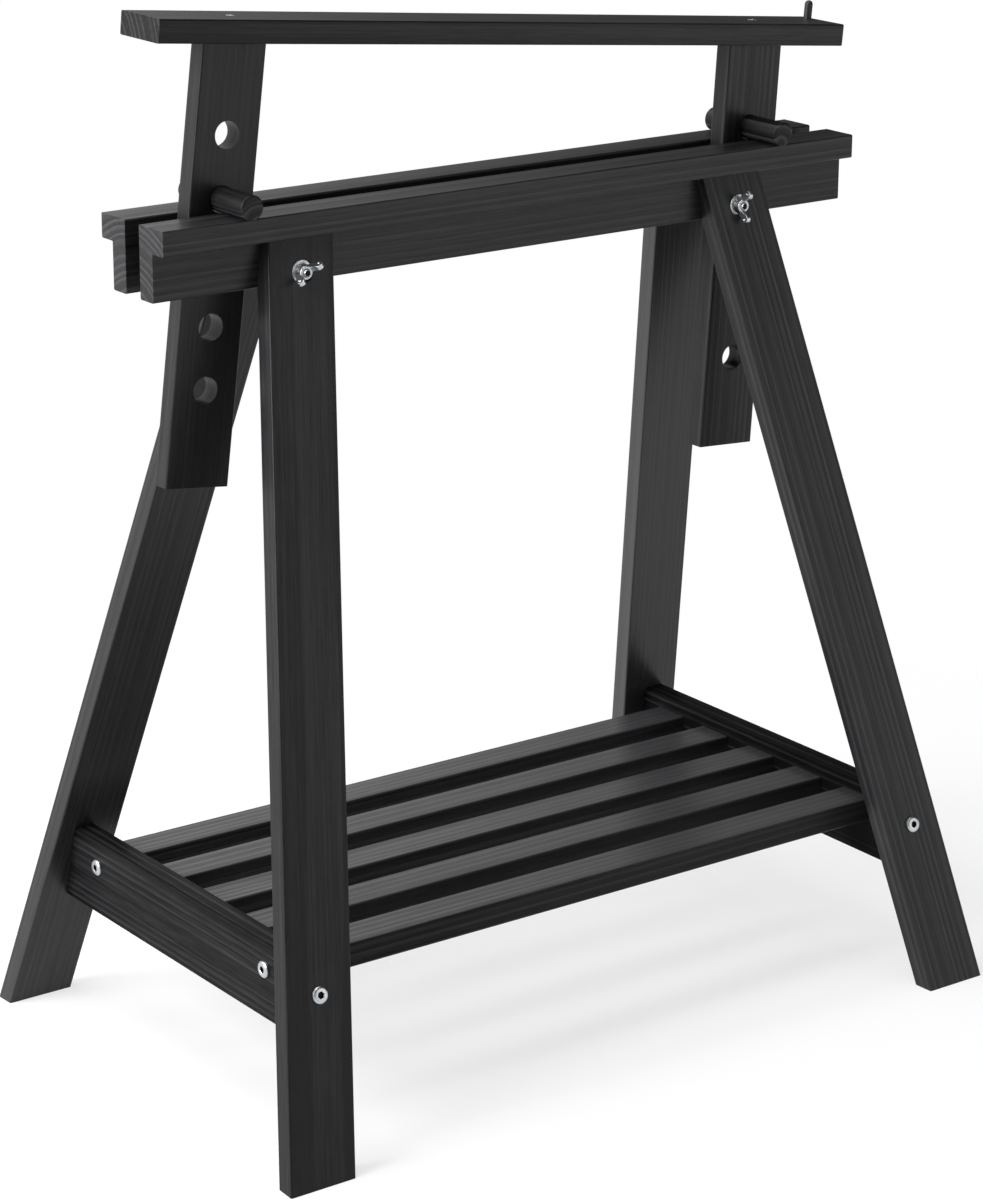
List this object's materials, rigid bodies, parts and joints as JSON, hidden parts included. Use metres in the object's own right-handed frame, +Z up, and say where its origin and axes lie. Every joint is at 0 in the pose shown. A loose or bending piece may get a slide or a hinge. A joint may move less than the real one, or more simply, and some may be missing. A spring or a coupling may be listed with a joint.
{
  "type": "trestle",
  "caption": "Wooden trestle with splayed bolted legs, a slatted shelf and a top bar on pegged uprights that sets to several heights and tilts.",
  "frame": {"origin": "on the floor, in the middle of the four feet", "axes": "+X along the rails to the end that the top bar slopes down to, -Y to the front, +Z up"},
  "size_m": [0.7266, 0.466, 0.8796],
  "materials": {
    "stained_pine": "black-stained pine, satin",
    "bare_dowel": "unfinished beech",
    "zinc_plate": "bright zinc plate"
  },
  "bodies": {
    "base": {"front_rail": "stained_pine", "back_rail": "stained_pine", "left_spacer": "stained_pine", "right_spacer": "stained_pine", "front_left_leg": "stained_pine", "front_right_leg": "stained_pine", "back_left_leg": "stained_pine", "back_right_leg": "stained_pine", "left_crossbar": "stained_pine", "right_crossbar": "stained_pine", "shelf_slat_1": "stained_pine", "shelf_slat_2": "stained_pine", "shelf_slat_3": "stained_pine", "shelf_slat_4": "stained_pine", "shelf_slat_5": "stained_pine", "spacer_dowels": "bare_dowel", "slat_dowels": "bare_dowel", "leg_bolts": "zinc_plate", "leg_washers": "zinc_plate", "end_bolts": "zinc_plate", "end_barrel_nuts": "zinc_plate", "shelf_bolts": "zinc_plate", "shelf_barrel_nuts": "zinc_plate"},
    "right_peg": {"right_peg": "stained_pine"},
    "top_frame": {"top_bar": "stained_pine", "left_upright": "stained_pine", "right_upright": "stained_pine", "bar_screws": "zinc_plate", "stop_pin": "stained_pine"},
    "left_peg": {"left_peg": "stained_pine"},
    "front_left_wing_nut": {"front_left_wing_nut": "zinc_plate"},
    "front_right_wing_nut": {"front_right_wing_nut": "zinc_plate"},
    "back_left_wing_nut": {"back_left_wing_nut": "zinc_plate"},
    "back_right_wing_nut": {"back_right_wing_nut": "zinc_plate"}
  },
  "joints": [
    {"name": "frame_lift", "type": "slide", "parent": "base", "child": "right_peg", "axis": [0.0943, 0, 0.9955], "range_m": [0, 0.16]},
    {"name": "frame_tilt", "type": "hinge", "parent": "right_peg", "child": "top_frame", "pos_m": [0.2605, 0, 0.7333], "axis": [0, 1, 0], "range_deg": [0, 15.18]},
    {"name": "left_peg_pull", "type": "slide", "parent": "top_frame", "child": "left_peg", "axis": [0, -1, 0], "range_m": [0, 0.06]},
    {"name": "front_left_wing_nut_turn", "type": "hinge", "parent": "base", "child": "front_left_wing_nut", "pos_m": [-0.22001, -0.045, 0.6765], "axis": [0, -1, 0], "range_deg": [0, 720]},
    {"name": "front_right_wing_nut_turn", "type": "hinge", "parent": "base", "child": "front_right_wing_nut", "pos_m": [0.22001, -0.045, 0.6765], "axis": [0, -1, 0], "range_deg": [0, 720]},
    {"name": "back_left_wing_nut_turn", "type": "hinge", "parent": "base", "child": "back_left_wing_nut", "pos_m": [-0.22001, 0.045, 0.6765], "axis": [0, 1, 0], "range_deg": [0, 720]},
    {"name": "back_right_wing_nut_turn", "type": "hinge", "parent": "base", "child": "back_right_wing_nut", "pos_m": [0.22001, 0.045, 0.6765], "axis": [0, 1, 0], "range_deg": [0, 720]}
  ]
}
